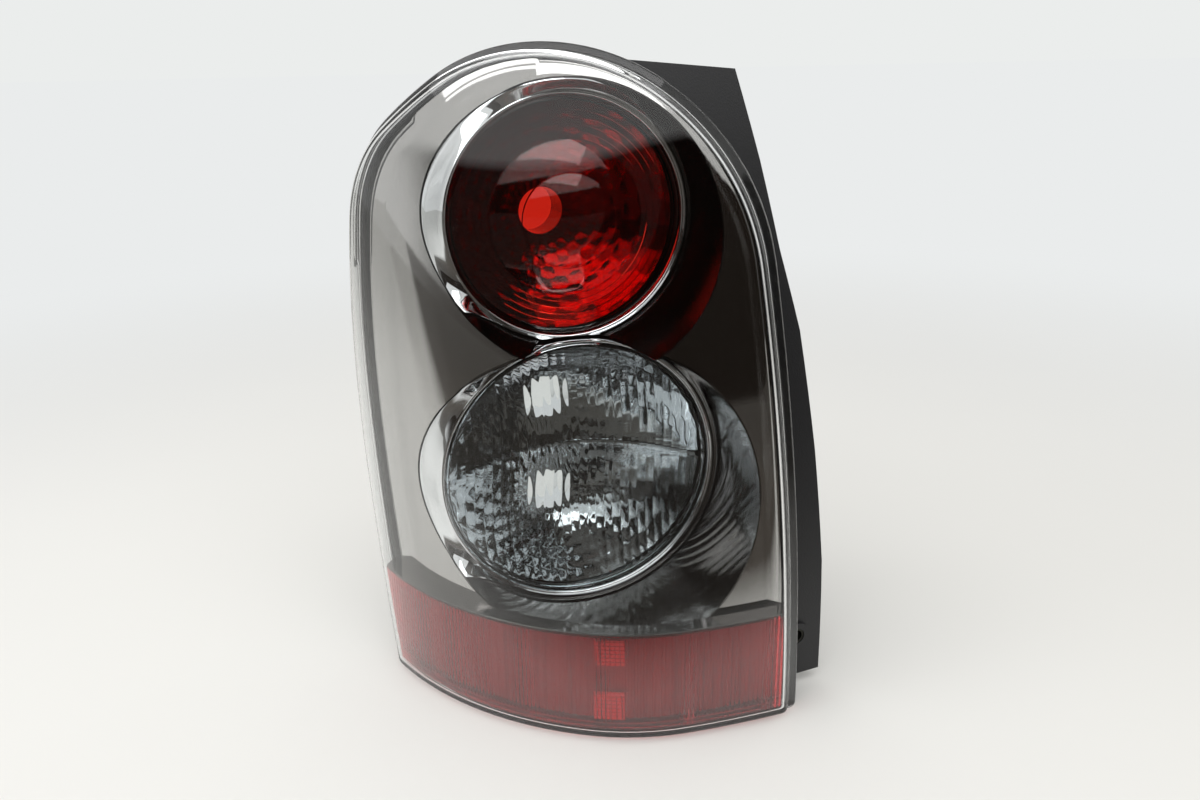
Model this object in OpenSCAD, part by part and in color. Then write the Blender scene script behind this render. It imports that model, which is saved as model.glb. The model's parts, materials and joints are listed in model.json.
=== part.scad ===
// Rear lamp cluster for the left-hand corner of a car: a wrap-round clear lens over a dark bezel,
// two round lamps one above the other, and a red strip along the lower edge.
// X runs inboard, Y forwards into the body, Z up. The lamp stands on its lower edge, at Z = 0.

/* [Outer lens] */
// Height of the lens over its lower edge
lamp_h = 405; // [380:1:490]
// Wall of the clear lens
lens_wall = 3; // [2:0.1:4]
// Depth of the lens skirt behind its face
skirt_depth = 12; // [10:0.5:14]
// Width of the flange outside the skirt
flange_w = 4; // [2.5:0.5:6]
// Thickness of the flange
flange_t = 3; // [2:0.5:4]
// Radius of the lens face in side view
side_r = 1100; // [900:10:1600]
// Direction in which the lens leaves its mould, outboard of straight back
draw_az = 38; // [30:1:45]

/* [Housing] */
// Wall of the housing
housing_wall = 2.5; // [2:0.1:4]
// Depth of the shallow part of the housing behind the lens face
tub_depth = 30; // [27:0.5:36]
// Rear face of the two barrels
rear_y = 130; // [128:1:150]
// Thickness of the inboard mounting wing
wing_t = 3; // [2:0.5:5]
// Radius of the screw hole in the wing
wing_hole_r = 5.5; // [4.5:0.1:7]

// Distance between the two ribs that carry the foot plates
foot_pitch = 60; // [40:1:90]
// Thickness of the foot plates
foot_t = 3; // [2:0.5:5]

/* [Round lamps] */
// Radius of the upper round lens
upper_r = 70.8; // [60:0.1:71]
// Radius of the lower round lens
lower_r = 85.6; // [70:0.1:86]
// Height of the upper round lamp's axis
upper_z = 305.5; // [300:0.5:310]
// Height of the lower round lamp's axis
lower_z = 146; // [140:0.5:148]
// Wall of the round inner lenses
inner_wall = 2.5; // [2:0.1:3.5]
// Radius of the bulb openings in the reflectors
bulb_r = 14.5; // [12:0.1:15]
// Radius of the ports for the bulb holders in the rear wall
port_r = 16.5; // [14:0.1:18]
// Pitch of the flutes in the lower inner lens
flute_pitch = 5; // [3:0.5:8]
// Distance between the two bulb axes of the lower lamp
bulb_pitch = 69; // [60:1:75]

/* [Red strip] */
// Height of the top edge of the red strip
strip_top = 73; // [55:1:85]
// Thickness of the red strip lens
strip_t = 2.7; // [2:0.1:4]

/* [Hidden] */
$fn = 96;
gap = 0.3; // gap between pieces that are only laid together
sealant_t = 1.3;
bezel_off = 15;
bezel_t = 2.5;
bezel_inset = flange_w + lens_wall + 1.5;
lamp_x = 10; // both round lamps share this place across the car
upper_y = 60; // middle of the upper lens plane
lower_y = 49;
plane_tilt = 8; // the round lenses face a little outboard
lens_seat = 9; // depth of the inner lens skirts
bull_r = 31;
flute_rise = 0.9;
upper_well_r = 78.5;
lower_well_r = 91.5;
collar_depth = 24; // length of the chromed collars
split_z = (lower_z + lower_r + upper_z - upper_r) / 2;
zone_z = 144.5; // where the two lower reflectors meet
bowl_n = 32;
bowl_m = 7;
bowl_y = 108;
screw_reach = 30;
bulb_axes = [[10.6, 304], [8.5, zone_z + bulb_pitch / 2], [8.5, zone_z - bulb_pitch / 2]];
screw_axes = [for (p = bulb_axes, s = [-1, 1]) p + [s * screw_reach, 0]];
stud_axes = [[52, 340], [70, zone_z]];
vent_axes = [[-38, 330], [-42, 102]];
wing_y = -28;
wing_low = 8;
wing_hole_x = 127;
wing_hole_z = 38;
strip_low = bezel_inset;
strip_off = lens_wall + 1.5;
strip_back = bezel_off - 0.5;
strip_steps = 16;
reflex_u = 12;
reflex_w = 18;
reflex_h = 17;
reflex_z = [22, 60];
pin_x = -52;
pin_z = 144.5;
face_steps = [0.2, 0.42, 0.62, 0.8, 0.92];
face_back = [0.92, 0.8, 0.62, 0.42, 0.2];

// Plan of the lens face at Z = 0: three arcs that run on from the inboard edge
plan_start = [109.4, -56.9];
plan_heading = 3.4;
plan_r = [590, 150, 217.5];
plan_sweep = [7.1, 22.6, 50];

// Outline of the lens as it leaves the mould: radius, first and last heading of each arc
apex_u = -39.6;
outline_arcs = [
    [1550, -2, 10.5], [160, 10.5, 56], [118, 56, 122], [480, 122, 127],
    [87, 127, 173], [700, 173, 187], [4000, 187, 192]
];
arc_steps = [5, 7, 9, 2, 6, 5, 3];
bottom_steps = 12;
top_arc = 2;
hub_of_loops = [-25, 190];

function inward(h) = [sin(h), cos(h)];
function outward(h) = [cos(h), sin(h)];
function heading(i) = i == 0 ? plan_heading : heading(i - 1) + plan_sweep[i - 1];
function plan_hub(i) = i == 0 ? plan_start + plan_r[0] * inward(plan_heading)
    : plan_hub(i - 1) + (plan_r[i] - plan_r[i - 1]) * inward(heading(i));
function to_u(p) = p[0] * cos(draw_az) - p[1] * sin(draw_az);
function to_w(p) = p[0] * sin(draw_az) + p[1] * cos(draw_az);
function set_back(z) = side_r - sqrt(side_r * side_r - z * z);
function hub_at(i, z) = plan_hub(i) + [0, set_back(z)];
function joint_u(i, z, off) = to_u(hub_at(i, z) - (plan_r[i] - off) * inward(heading(i)));
function arc_at(u, z, off) = u > joint_u(1, z, off) ? 0 : u > joint_u(2, z, off) ? 1 : 2;
function face_w(u, z, off) =
    let (i = arc_at(u, z, off), c = hub_at(i, z), r = plan_r[i] - off, d = u - to_u(c))
    to_w(c) - sqrt(max(r * r - d * d, 1));
function on_face(p, off) =
    let (w = face_w(p[0], p[1], off))
    [p[0] * cos(draw_az) + w * sin(draw_az), w * cos(draw_az) - p[0] * sin(draw_az), p[1]];

// Outline points at an inset from the edge, with the lower side at height z_low
function edge_hub(i) = i == top_arc ? [apex_u, lamp_h - outline_arcs[i][0]]
    : i < top_arc ? edge_hub(i + 1) + (outline_arcs[i + 1][0] - outline_arcs[i][0]) * outward(outline_arcs[i][2])
    : edge_hub(i - 1) + (outline_arcs[i - 1][0] - outline_arcs[i][0]) * outward(outline_arcs[i][1]);
function edge_point(i, h, inset) = edge_hub(i) + (outline_arcs[i][0] - inset) * outward(h);
function right_end(inset, z_low) = asin((z_low - edge_hub(0)[1]) / (outline_arcs[0][0] - inset));
function left_end(inset, z_low) = 180 - asin((z_low - edge_hub(6)[1]) / (outline_arcs[6][0] - inset));
function arc_from(i, inset, z_low) = i == 0 ? right_end(inset, z_low) : outline_arcs[i][1];
function arc_to(i, inset, z_low) = i == 6 ? left_end(inset, z_low) : outline_arcs[i][2];
function arc_points(i, inset, z_low) =
    let (a = arc_from(i, inset, z_low), b = arc_to(i, inset, z_low), n = arc_steps[i])
    [for (k = [0 : n - 1]) edge_point(i, a + (b - a) * k / n, inset)];
function loop(inset, z_low) =
    let (
        l = edge_point(6, left_end(inset, z_low), inset),
        r = edge_point(0, right_end(inset, z_low), inset)
    )
    concat(
        [for (i = [0 : 6], p = arc_points(i, inset, z_low)) p],
        [for (k = [0 : bottom_steps - 1]) l + (r - l) * k / bottom_steps]
    );
function edge_ring(inset, z_low, off) = [for (p = loop(inset, z_low)) on_face(p, off)];
function face_ring(inset, z_low, off, f) =
    [for (p = loop(inset, z_low)) on_face(hub_of_loops + f * (p - hub_of_loops), off)];
function face_point(off) = on_face(hub_of_loops, off);

// Closed solid through a list of rings; the ends close on points, or the last ring meets the first
module loft(rings, ends) {
    n = len(rings[0]);
    m = len(rings);
    points = concat([for (r = rings, p = r) p], ends);
    walls = [
        for (j = [0 : m - 2], k = [0 : n - 1])
            let (a = j * n + k, b = j * n + (k + 1) % n)
            for (t = [[a, b, a + n], [b, b + n, a + n]]) t
    ];
    caps = len(ends) == 2
        ? concat(
            [for (k = [0 : n - 1]) [(k + 1) % n, k, m * n]],
            [for (k = [0 : n - 1]) [(m - 1) * n + k, (m - 1) * n + (k + 1) % n, m * n + 1]]
        )
        : [
            for (k = [0 : n - 1])
                let (a = (m - 1) * n + k, b = (m - 1) * n + (k + 1) % n, k2 = (k + 1) % n)
                for (t = [[a, b, k], [b, k2, k]]) t
        ];
    polyhedron(points = points, faces = concat(walls, caps), convexity = 6);
}

module outer_lens() {
    seat = skirt_depth - flange_t;
    inner = flange_w + lens_wall;
    rings = concat(
        [for (f = face_steps) face_ring(flange_w + 4, flange_w + 4, 0, f)],
        [
            edge_ring(flange_w + 4, flange_w + 4, 0),
            edge_ring(flange_w + 1.2, flange_w + 1.2, 1.2),
            edge_ring(flange_w, flange_w, 4),
            edge_ring(flange_w, flange_w, seat),
            edge_ring(0, 0, seat),
            edge_ring(0, 0, skirt_depth),
            edge_ring(inner, inner, skirt_depth),
            edge_ring(inner, inner, lens_wall + 3),
            edge_ring(inner + 2, inner + 2, lens_wall)
        ],
        [for (f = face_back) face_ring(inner + 2, inner + 2, lens_wall, f)]
    );
    color([0.9, 0.92, 0.93, 0.35]) loft(rings, [face_point(0), face_point(lens_wall)]);
}

// Solid that fills the space behind the surface at depth off, straight back along the mould direction
module behind(off, inset, reach = 260) {
    along = [sin(draw_az), cos(draw_az), 0] * reach;
    edge = edge_ring(inset, inset, off);
    rings = concat(
        [for (f = face_steps) face_ring(inset, inset, off, f)],
        [edge, [for (p = edge) p + along]]
    );
    loft(rings, [face_point(off), face_point(off) + along]);
}

// Places along the axis of a round lamp; depth runs forwards into the car
module on_axis(z, y = 0) {
    translate([lamp_x, y, z]) rotate([-90, 0, 0]) children();
}

// The same with the tilt of the round lens planes
module in_plane(z, y) {
    translate([lamp_x, y, z]) rotate([0, 0, -plane_tilt]) rotate([-90, 0, 0]) children();
}

module tube(r_out, r_in, from, to) {
    translate([0, 0, from]) difference() {
        cylinder(r = r_out, h = to - from);
        translate([0, 0, -1]) cylinder(r = r_in, h = to - from + 2);
    }
}

module sealant_bead() {
    front = skirt_depth + 0.2;
    back = skirt_depth + sealant_t;
    rings = [
        edge_ring(flange_w + 2, flange_w + 2, front), edge_ring(1, 1, front),
        edge_ring(1, 1, back), edge_ring(flange_w + 2, flange_w + 2, back)
    ];
    color([0.03, 0.03, 0.03]) loft(rings, []);
}

module housing_shell() {
    front = skirt_depth + sealant_t + 0.2;
    ledge = bezel_off + bezel_t + gap;
    inner = bezel_inset + 2.5;
    outer = inner - housing_wall;
    floor_off = tub_depth - housing_wall;
    rings = concat(
        [for (f = face_steps) face_ring(inner, inner, floor_off, f)],
        [
            edge_ring(inner, inner, floor_off), edge_ring(inner, inner, ledge),
            edge_ring(bezel_inset - gap, bezel_inset - gap, ledge),
            edge_ring(bezel_inset - gap, bezel_inset - gap, front),
            edge_ring(0.6, 0.6, front), edge_ring(0.6, 0.6, front + 3.5),
            edge_ring(5, 5, ledge + 2), edge_ring(outer, outer, tub_depth)
        ],
        [for (f = face_back) face_ring(outer, outer, tub_depth, f)]
    );
    loft(rings, [face_point(floor_off), face_point(tub_depth)]);
}

// Room inside the shallow part of the housing
module tub_space() {
    inner = bezel_inset + 2.9;
    floor_off = tub_depth - housing_wall - 0.4;
    rings = concat(
        [for (f = face_steps) face_ring(inner, inner, 8, f)],
        [edge_ring(inner, inner, 8), edge_ring(inner, inner, floor_off)],
        [for (f = face_back) face_ring(inner, inner, floor_off, f)]
    );
    loft(rings, [face_point(8), face_point(floor_off)]);
}

module barrels_outside() {
    step = collar_depth + 2.3 + housing_wall;
    in_plane(lower_z, lower_y) translate([0, 0, -110]) cylinder(r = lower_well_r + 5.5, h = 110 + step);
    in_plane(upper_z, upper_y) translate([0, 0, -110]) cylinder(r = upper_well_r + 5.5, h = 110 + step);
    on_axis(lower_z) cylinder(r = lower_r + 8, h = rear_y);
    on_axis(upper_z) cylinder(r = upper_r + 8, h = rear_y);
}

module barrels_inside() {
    step = collar_depth + 2.3;
    in_plane(lower_z, lower_y) translate([0, 0, -110]) cylinder(r = lower_well_r + 3, h = 110 + step);
    in_plane(upper_z, upper_y) translate([0, 0, -110]) cylinder(r = upper_well_r + 3, h = 110 + step);
    on_axis(lower_z, lower_y - 8) cylinder(r = lower_r + 5.5, h = rear_y - housing_wall - lower_y + 8);
    on_axis(upper_z, upper_y - 5) cylinder(r = upper_r + 5.5, h = rear_y - housing_wall - upper_y + 5);
}

// Mounting wing: it follows the side profile of the lens just behind the flange
module wing() {
    outline = [
        [96, wing_low], [146.3, wing_low], [146.3, 87], [142, 162], [135.7, 237], [126.6, 285],
        [119.9, 337], [111.8, 388], [27, 396], [27, 366], [66, 320], [90, 220]
    ];
    intersection() {
        translate([0, wing_y + side_r, 0]) rotate([90, 0, 90]) linear_extrude(160) difference() {
            circle(r = side_r, $fn = 360);
            circle(r = side_r - wing_t, $fn = 360);
        }
        translate([0, 100, 0]) rotate([90, 0, 0]) linear_extrude(160) polygon(outline);
    }
}

// Ribs under the housing, with two foot plates level with the lower edge of the lens
module feet() {
    front = -30;
    for (x = [lamp_x - foot_pitch / 2, lamp_x + foot_pitch / 2])
        translate([x - 1.5, front, 0]) cube([3, rear_y - front - 2, lower_z - lower_r - 3]);
    for (y = [-10, rear_y - 22])
        translate([lamp_x - foot_pitch / 2 - 6, y, 0]) cube([foot_pitch + 12, 20, foot_t]);
}

module housing() {
    color([0.05, 0.05, 0.055]) difference() {
        union() {
            housing_shell();
            intersection() {
                barrels_outside();
                behind(tub_depth - housing_wall / 2, 0.8);
            }
            difference() {
                union() {
                    wing();
                    translate([wing_hole_x, 0, wing_hole_z]) on_y(wing_y + set_back(wing_hole_z) - 2)
                        cylinder(r = wing_hole_r + 4, h = 11);
                }
                tub_space();
            }
            intersection() {
                feet();
                behind(tub_depth - housing_wall / 2, -6);
            }
        }
        intersection() {
            barrels_inside();
            behind(bezel_off + bezel_t + gap + 0.6, bezel_inset + 2.9);
        }
        for (p = bulb_axes) translate([p[0], rear_y - 10, p[1]]) rotate([-90, 0, 0]) {
            cylinder(r = port_r, h = 20);
            for (a = [0, 120, 240]) rotate([0, 0, a]) translate([port_r - 2, -3, 0]) cube([5, 6, 20]);
        }
        for (p = screw_axes) translate([p[0], rear_y - 10, p[1]]) rotate([-90, 0, 0]) cylinder(r = 2.4, h = 20);
        for (p = stud_axes) translate([p[0], rear_y - 10, p[1]]) rotate([-90, 0, 0]) cylinder(r = 2.7, h = 20);
        for (p = vent_axes) translate([p[0], rear_y - 10, p[1]]) rotate([-90, 0, 0]) cylinder(r = 3, h = 20);
        translate([wing_hole_x, -60, wing_hole_z]) rotate([-90, 0, 0]) cylinder(r = wing_hole_r, h = 80);
    }
}

module bezel() {
    plate = concat(
        [for (f = face_steps) face_ring(bezel_inset, bezel_inset, bezel_off, f)],
        [edge_ring(bezel_inset, bezel_inset, bezel_off), edge_ring(bezel_inset, bezel_inset, bezel_off + bezel_t)],
        [for (f = face_back) face_ring(bezel_inset, bezel_inset, bezel_off + bezel_t, f)]
    );
    color([0.2, 0.2, 0.21]) difference() {
        union() {
            loft(plate, [face_point(bezel_off), face_point(bezel_off + bezel_t)]);
            intersection() {
                union() {
                    in_plane(lower_z, lower_y) translate([0, 0, -110]) cylinder(r = lower_well_r + 2, h = 112 + collar_depth);
                    in_plane(upper_z, upper_y) translate([0, 0, -110]) cylinder(r = upper_well_r + 2, h = 112 + collar_depth);
                }
                behind(bezel_off + 1, bezel_inset);
            }
        }
        in_plane(lower_z, lower_y) translate([0, 0, -120]) cylinder(r = lower_well_r, h = 120 + collar_depth);
        in_plane(upper_z, upper_y) translate([0, 0, -120]) cylinder(r = upper_well_r, h = 120 + collar_depth);
        in_plane(lower_z, lower_y) cylinder(r = lower_r + 2.6, h = 90);
        in_plane(upper_z, upper_y) cylinder(r = upper_r + 2.6, h = 90);
    }
}

// Chromed collar round a lens, flared towards the back; the two collars are cut flat where they meet
module ring(z, y, r, flare, keep_z, keep_h) {
    intersection() {
        in_plane(z, y) rotate_extrude() polygon([
            [r + gap, 0.6], [r + 1, 0], [r + 2.4, 0], [r + 3.4, 1.2], [r + flare, collar_depth],
            [r + flare - 1.8, collar_depth], [r + 1.6, 3], [r + gap, 2.5]
        ]);
        translate([-150, -40, keep_z]) cube([300, 200, keep_h]);
    }
}

module upper_ring() {
    color([0.8, 0.8, 0.82]) ring(upper_z, upper_y, upper_r, 6.5, split_z + gap / 2, 180);
}

module lower_ring() {
    color([0.8, 0.8, 0.82]) ring(lower_z, lower_y, lower_r, 5, split_z - gap / 2 - 220, 220);
}

// Red lens with a raised round centre and concentric steps on its inner side
module upper_inner_lens() {
    t = inner_wall;
    color([0.6, 0.02, 0.03, 0.8]) in_plane(upper_z, upper_y) rotate_extrude() polygon([
        [0, 0.2], [bull_r - 1, 0.2], [bull_r, 1.6], [upper_r - 2, 1.6], [upper_r, 3.2], [upper_r, lens_seat],
        [upper_r - t, lens_seat], [upper_r - t, 5], [upper_r - 10, 1.6 + t], [upper_r - 10, 2.4 + t],
        [upper_r - 19, 1.6 + t], [upper_r - 19, 2.4 + t], [upper_r - 28, 1.6 + t], [upper_r - 28, 2.4 + t],
        [bull_r, 1.6 + t], [bull_r, 2.4 + t], [bull_r - 10, 1.6 + t], [bull_r - 10, 2.4 + t],
        [bull_r - 20, 1.6 + t], [0, 1.6 + t]
    ]);
}

// Clear cup whose floor carries upright flutes on its inner side
module lower_inner_lens() {
    face = 3;
    n = floor(2 * (lower_r - inner_wall) / flute_pitch);
    color([0.8, 0.85, 0.87, 0.5]) in_plane(lower_z, lower_y) difference() {
        cylinder(r = lower_r, h = lens_seat);
        translate([0, 0, -1]) cylinder(r = lower_r - inner_wall, h = face + 1);
        intersection() {
            translate([0, 0, face]) cylinder(r = lower_r - inner_wall, h = 12);
            translate([0, 120, face + inner_wall - 0.6]) rotate([90, 0, 0]) linear_extrude(240)
                polygon(concat(flutes_floor(n), [[n / 2 * flute_pitch, 12], [-n / 2 * flute_pitch, 12]]));
        }
    }
}
function flutes_floor(n) = [for (k = [0 : n]) [(k - n / 2) * flute_pitch, (k % 2) * flute_rise]];

// Bowl of a reflector in facets, from its bulb opening out to the rim in the tilted lens plane
function reach(c, a, r) =
    let (b = c[0] * cos(a) + c[1] * sin(a)) sqrt(b * b - c[0] * c[0] - c[1] * c[1] + r * r) - b;
function to_line(c, a, z, side) = side * sin(a) >= 0 ? 1000 : (z - c[1]) / sin(a);
function bowl_ring(c, z0, y0, r, j, side, z_line, grow, deeper) = [
    for (k = [0 : bowl_n - 1])
        let (
            a = k * 360 / bowl_n,
            full = reach([c[0] - lamp_x, c[1] - z0], a, r),
            stop = side == 0 ? full : min(full, to_line(c, a, z_line, side)),
            h = bulb_r - 1,
            q = h + (stop - h) * j / bowl_m,
            x = c[0] + q * cos(a),
            rim_y = y0 + (lens_seat + 0.4) / cos(plane_tilt) - (x - lamp_x) * tan(plane_tilt),
            drop = pow((q - h) / (full - h), 1.7),
            y = bowl_y + (rim_y - bowl_y) * drop
        )
        [x + grow * cos(a), y + deeper, c[1] + (q + grow) * sin(a)]
];
module bowl(c, z0, y0, r, side = 0, z_line = 0) {
    rings = concat(
        [for (j = [0 : bowl_m]) bowl_ring(c, z0, y0, r, j, side, z_line + side * 1.3, 0, 0)],
        [for (j = [bowl_m : -1 : 0]) bowl_ring(c, z0, y0, r + 1.5, j, side, z_line, 0, 2)]
    );
    loft(rings, []);
}

module reflector(c, z0, y0, r, side = 0, z_line = 0) {
    difference() {
        union() {
            bowl(c, z0, y0, r, side, z_line);
            translate([c[0], bowl_y, c[1]]) rotate([-90, 0, 0])
                cylinder(r = bulb_r + 3, h = rear_y - housing_wall - bowl_y);
            for (p = screw_axes) if (norm(p - c) < screw_reach + 1)
                translate([p[0], bowl_y - 2.6, p[1]]) rotate([-90, 0, 0])
                    cylinder(r = 5, h = rear_y - housing_wall - bowl_y + 2.6);
            intersection() {
                in_plane(z0, y0) tube(r + 2.8, r + 0.6, lens_seat, lens_seat + 2);
                translate([-150, -40, side == 0 ? 0 : side > 0 ? z_line : z_line - 200]) cube([300, 200, side == 0 ? 500 : 200]);
            }
        }
        translate([c[0], bowl_y - 40, c[1]]) rotate([-90, 0, 0]) cylinder(r = bulb_r, h = 90);
        for (p = screw_axes) if (norm(p - c) < screw_reach + 1)
            translate([p[0], rear_y - housing_wall - 12, p[1]]) rotate([-90, 0, 0]) cylinder(r = 1.8, h = 20);
    }
}

module upper_reflector() {
    color([0.85, 0.85, 0.86]) reflector(bulb_axes[0], upper_z, upper_y, upper_r - 3);
}

module turn_reflector() {
    color([0.85, 0.85, 0.86]) reflector(bulb_axes[1], lower_z, lower_y, lower_r - 3, 1, zone_z + 0.15);
}

module reverse_reflector() {
    color([0.85, 0.85, 0.86]) reflector(bulb_axes[2], lower_z, lower_y, lower_r - 3, -1, zone_z - 0.15);
}

// Slab that follows the lens face between two heights, from one side of the outline to the other
function side_u(inset, z, k) =
    let (
        r = edge_point(0, right_end(inset, z), inset)[0],
        l = edge_point(6, left_end(inset, z), inset)[0]
    )
    l + (r - l) * k / strip_steps;
module slab(inset, lo, hi, from, to) {
    rings = [for (k = [0 : strip_steps]) [
        for (q = [[lo, from], [hi, from], [hi, to], [lo, to]]) on_face([side_u(inset, q[0], k), q[0]], q[1])
    ]];
    mid = [for (k = [0, strip_steps]) (rings[k][0] + rings[k][1] + rings[k][2] + rings[k][3]) / 4];
    loft(rings, mid);
}

module red_strip_lens() {
    t = strip_t;
    color([0.6, 0.03, 0.03, 0.8]) difference() {
        slab(bezel_inset, strip_low, strip_top, strip_off, strip_back);
        slab(bezel_inset + t, strip_low + t, strip_top - t, strip_off + t, strip_back + 3);
    }
}

module strip_backing() {
    t = strip_t + 0.4;
    color([0.75, 0.7, 0.7])
        slab(bezel_inset + t, strip_low + t, strip_top - t, strip_back - 2, strip_back);
}

// Two small tiles with a grid of prisms, between the strip lens and its backing
module reflex_inserts() {
    color([0.85, 0.25, 0.12]) for (z = reflex_z) tile(z);
}
module tile(z) {
    w = reflex_w / 2;
    h = reflex_h / 2;
    front = strip_off + strip_t + 1.2;
    rings = [for (off = [front, strip_back - 2.4]) [
        for (p = [[-w, -h], [w, -h], [w, h], [-w, h]]) on_face([reflex_u + p[0], z + p[1]], off)
    ]];
    polyhedron(
        points = concat(rings[0], rings[1]),
        faces = [
            [2, 1, 0], [3, 2, 0], [5, 6, 4], [6, 7, 4], [5, 4, 0], [1, 5, 0], [6, 5, 1], [2, 6, 1],
            [7, 6, 2], [3, 7, 2], [4, 7, 3], [0, 4, 3]
        ]
    );
}

module wing_bush() {
    y = wing_y + set_back(wing_hole_z);
    color([0.6, 0.6, 0.58]) translate([wing_hole_x, 0, wing_hole_z]) on_y(y - 3) {
        tube(wing_hole_r - 0.05, wing_hole_r - 1.5, 1.5, 14);
        tube(wing_hole_r + 3, wing_hole_r - 1.5, 12.1, 14);
    }
}
module on_y(y) {
    translate([0, y, 0]) rotate([-90, 0, 0]) children();
}

module mounting_studs() {
    color([0.7, 0.7, 0.68]) for (p = stud_axes) translate([p[0], 0, p[1]]) on_y(rear_y) {
        translate([0, 0, -8]) cylinder(r = 2.5, h = 9);
        cylinder(r = 7, h = 2);
        translate([0, 0, 1]) cylinder(r = 3, h = 21);
    }
}

module locating_pin() {
    color([0.85, 0.85, 0.8]) translate([pin_x, 0, pin_z]) on_y(rear_y) {
        cylinder(r = 9, h = 2);
        cylinder(r = 4, h = 10);
        translate([0, 0, 9]) cylinder(r = 3.5, h = 7);
    }
}

module pin_sleeve() {
    color([0.08, 0.08, 0.08]) translate([pin_x, 0, pin_z]) on_y(rear_y) tube(6.5, 4.05, 2.1, 10);
}

module vent_caps() {
    color([0.06, 0.06, 0.06]) for (p = vent_axes) translate([p[0], 0, p[1]]) on_y(rear_y) {
        translate([0, 0, -4]) cylinder(r = 2.95, h = 6);
        cylinder(r = 8, h = 6);
    }
}

module body_gaskets() {
    color([0.12, 0.12, 0.12]) {
        translate([bulb_axes[0][0], 0, bulb_axes[0][1]]) on_y(rear_y) tube(72, 66, 0, 6);
        translate([bulb_axes[1][0], 0, zone_z]) on_y(rear_y) tube(84, 78, 0, 6);
    }
}

module reflector_screws() {
    color([0.75, 0.73, 0.65]) for (p = screw_axes) translate([p[0], 0, p[1]]) on_y(rear_y) {
        translate([0, 0, -12]) cylinder(r = 1.75, h = 13);
        difference() {
            cylinder(r = 4, h = 2.6);
            for (a = [0, 90]) rotate([0, 0, a]) translate([-2.5, -0.5, 1.2]) cube([5, 1, 2]);
        }
    }
}

housing();
outer_lens();
sealant_bead();
bezel();
red_strip_lens();
strip_backing();
reflex_inserts();
upper_ring();
lower_ring();
upper_inner_lens();
lower_inner_lens();
upper_reflector();
turn_reflector();
reverse_reflector();
wing_bush();
mounting_studs();
locating_pin();
pin_sleeve();
vent_caps();
body_gaskets();
reflector_screws();
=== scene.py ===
import json
import math
import bpy
import bmesh
import numpy as np
from mathutils import Euler, Matrix, Vector

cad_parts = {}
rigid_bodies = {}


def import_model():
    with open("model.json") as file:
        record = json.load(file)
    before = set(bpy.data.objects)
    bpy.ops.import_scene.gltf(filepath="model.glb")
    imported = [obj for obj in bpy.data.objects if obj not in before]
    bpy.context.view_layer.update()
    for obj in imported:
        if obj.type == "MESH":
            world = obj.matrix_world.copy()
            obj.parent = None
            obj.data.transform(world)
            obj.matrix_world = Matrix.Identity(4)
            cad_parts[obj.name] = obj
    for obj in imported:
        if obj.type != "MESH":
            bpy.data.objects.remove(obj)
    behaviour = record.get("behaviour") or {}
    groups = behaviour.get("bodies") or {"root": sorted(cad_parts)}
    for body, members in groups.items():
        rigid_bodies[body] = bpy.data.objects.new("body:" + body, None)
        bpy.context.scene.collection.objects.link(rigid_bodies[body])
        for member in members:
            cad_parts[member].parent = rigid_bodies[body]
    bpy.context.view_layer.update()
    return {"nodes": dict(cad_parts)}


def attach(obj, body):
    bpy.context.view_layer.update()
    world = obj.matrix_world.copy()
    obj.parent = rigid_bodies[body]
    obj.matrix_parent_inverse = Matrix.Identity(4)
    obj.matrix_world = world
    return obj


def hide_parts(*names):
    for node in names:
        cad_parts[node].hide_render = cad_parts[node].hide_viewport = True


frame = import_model()
print("frame loaded:", len(frame["nodes"]), "nodes")

# face of the outer lens, in metres and degrees: three arcs in plan, one long arc from top to foot.
# u runs across the face, square to the draw of the mould, z runs up, off is the depth behind it
lensFace = {
    "sideRadius": 1.1, "start": (0.1094, -0.0569), "heading": 3.4,
    "radii": (0.590, 0.150, 0.2175), "sweeps": (7.1, 22.6), "drawAngle": 38.0,
}
# its outline, from the right foot over the top to the left foot: radius, first and last angle
outline = {
    "apexU": -0.0396, "height": 0.405, "hub": (-0.025, 0.190),
    "arcs": ((1.550, -2, 10.5), (0.160, 10.5, 56), (0.118, 56, 122), (0.480, 122, 127),
             (0.087, 127, 173), (0.700, 173, 187), (4.000, 187, 192)),
    "steps": (26, 30, 40, 6, 24, 22, 8), "footSteps": 90,
    "corner": 0.004, "cornerShrink": 0.3, "cornerLeast": 0.0015, "cornerSteps": 6,
}


def inward(h):  # level direction into the lamp for a heading in degrees
    return np.array([math.sin(math.radians(h)), math.cos(math.radians(h))])


def planHubs():
    hubs, h = [], lensFace["heading"]
    hub = np.array(lensFace["start"]) + lensFace["radii"][0] * inward(h)
    hubs.append((hub, h))
    for i in (1, 2):
        h += lensFace["sweeps"][i - 1]
        hub = hub + (lensFace["radii"][i] - lensFace["radii"][i - 1]) * inward(h)
        hubs.append((hub, h))
    return hubs


planArcs = planHubs()
drawSin = math.sin(math.radians(lensFace["drawAngle"]))
drawCos = math.cos(math.radians(lensFace["drawAngle"]))


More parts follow.
